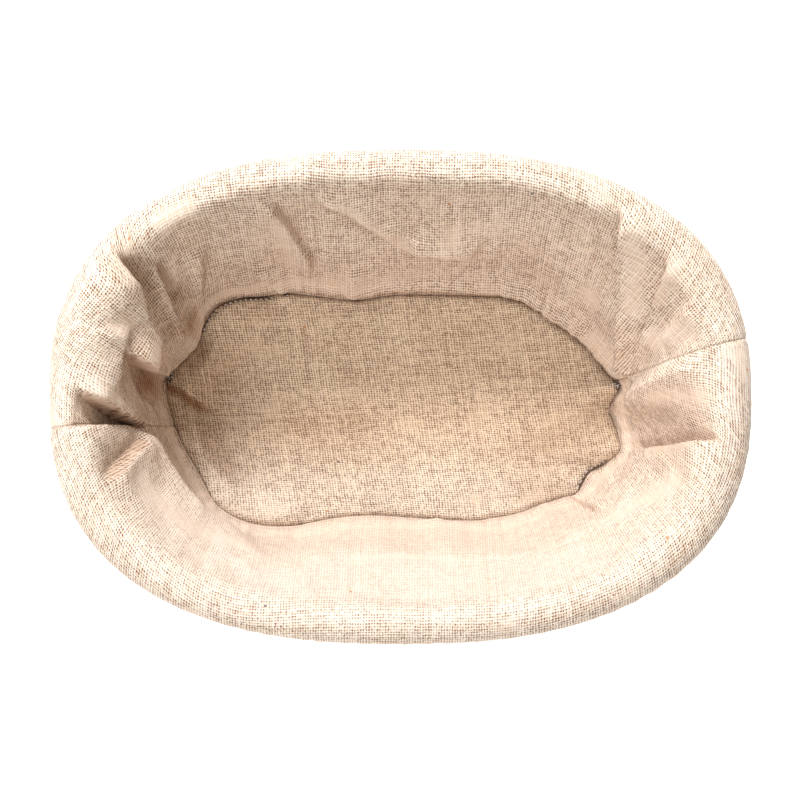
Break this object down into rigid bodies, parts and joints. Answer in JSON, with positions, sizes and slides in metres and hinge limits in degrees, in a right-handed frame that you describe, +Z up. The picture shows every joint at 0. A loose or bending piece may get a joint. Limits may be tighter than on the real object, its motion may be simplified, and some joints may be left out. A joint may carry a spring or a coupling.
{
  "type": "banneton basket",
  "caption": "Oval coiled-cane dough proofing basket with a fitted linen liner held on over the rim by an elastic hem.",
  "frame": {"origin": "on the surface that the basket stands on, at the middle of the oval", "axes": "+X along the oval's length, +Y to the back of the basket, +Z up out of its mouth"},
  "size_m": [0.2152, 0.1522, 0.0816],
  "materials": {
    "cane": "bare peeled cane, satin",
    "bamboo": "bare, matte",
    "steel": "drawn wire",
    "linen": "unbleached plain-weave linen, matte",
    "thread": "dark brown sewing thread",
    "elastic": "braided, matte"
  },
  "bodies": {
    "basket": {"floor_core_cane": "cane", "floor_coil_cane": "cane", "lower_wall_coil_cane": "cane", "upper_wall_coil_cane": "cane", "rim_cane": "cane", "floor_pin_left": "bamboo", "floor_pin_right": "bamboo", "wall_staple_01": "steel", "wall_staple_02": "steel", "wall_staple_03": "steel", "wall_staple_04": "steel", "wall_staple_05": "steel", "wall_staple_06": "steel", "wall_staple_07": "steel", "wall_staple_08": "steel", "wall_staple_09": "steel", "wall_staple_10": "steel", "wall_staple_11": "steel", "wall_staple_12": "steel", "wall_staple_13": "steel", "wall_staple_14": "steel", "wall_staple_15": "steel", "wall_staple_16": "steel", "wall_staple_17": "steel", "wall_staple_18": "steel"},
    "liner": {"liner_floor_panel": "linen", "liner_wall_front": "linen", "liner_wall_back": "linen", "hem_casing_front": "linen", "hem_casing_back": "linen", "hem_elastic": "elastic", "floor_seam_thread": "thread", "hem_seam_thread": "thread", "side_seam_thread_left": "thread", "side_seam_thread_right": "thread"}
  },
  "joints": [
    {"name": "liner_lift", "type": "slide", "parent": "basket", "child": "liner", "axis": [0, 0, 1], "range_m": [0, 0.11], "deforming": ["hem_casing_front", "hem_casing_back", "hem_elastic", "hem_seam_thread"]}
  ]
}
